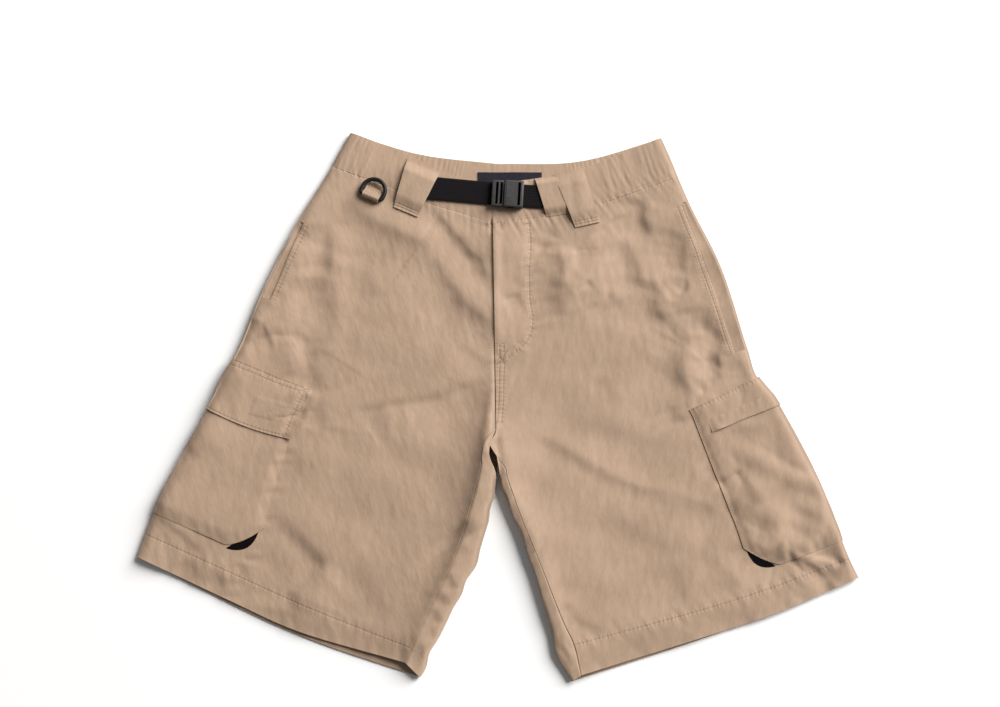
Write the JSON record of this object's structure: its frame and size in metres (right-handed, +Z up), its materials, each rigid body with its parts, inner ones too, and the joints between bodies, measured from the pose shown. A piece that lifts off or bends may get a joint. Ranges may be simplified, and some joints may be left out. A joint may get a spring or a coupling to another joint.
{
  "type": "cargo shorts",
  "caption": "Cargo shorts laid flat on their back, with a webbing belt and side-release buckle, belt loops, a hinged D-ring and mesh-drained cargo pockets.",
  "frame": {"origin": "on the floor under the middle of the garment's bounding box", "axes": "+Y from the hems towards the waist, +X towards the wearer's left leg, +Z up from the back panels to the front ones"},
  "size_m": [0.7716, 0.6041, 0.0149],
  "materials": {
    "shell_cloth": "thin crinkled nylon taslan, slightly sheeny",
    "pocket_cloth": "the same nylon, in the shade of an opening",
    "black_webbing": "ribbed nylon webbing",
    "buckle_plastic": "moulded acetal, satin",
    "ring_black": "moulded black acetal, satin",
    "drain_mesh": "black polyester net",
    "label_dark": "dark woven satin, bare"
  },
  "bodies": {
    "shorts": {"front_right": "shell_cloth", "front_left": "shell_cloth", "back_right": "shell_cloth", "back_left": "shell_cloth", "waistband_front_right": "shell_cloth", "waistband_front_left": "shell_cloth", "waistband_back": "shell_cloth", "pocket_facing_right": "pocket_cloth", "pocket_facing_left": "pocket_cloth", "cargo_pocket_right": "shell_cloth", "cargo_flap_right": "shell_cloth", "cargo_pocket_left": "shell_cloth", "cargo_placket_left": "shell_cloth", "drain_gusset_right": "drain_mesh", "drain_gusset_left": "drain_mesh", "belt_loop_right": "shell_cloth", "belt_loop_left": "shell_cloth", "belt_casing_left": "shell_cloth", "belt_webbing_long": "black_webbing", "belt_webbing_short": "black_webbing", "buckle_socket": "buckle_plastic", "buckle_plug": "buckle_plastic", "d_ring_tab": "pocket_cloth", "back_label": "label_dark"},
    "d_ring": {"d_ring": "ring_black"}
  },
  "joints": [
    {"name": "d_ring_swing", "type": "hinge", "parent": "shorts", "child": "d_ring", "pos_m": [-0.1423, 0.2258, 0.0101], "axis": [0.9216, -0.3881, 0], "range_deg": [0, 165]}
  ]
}
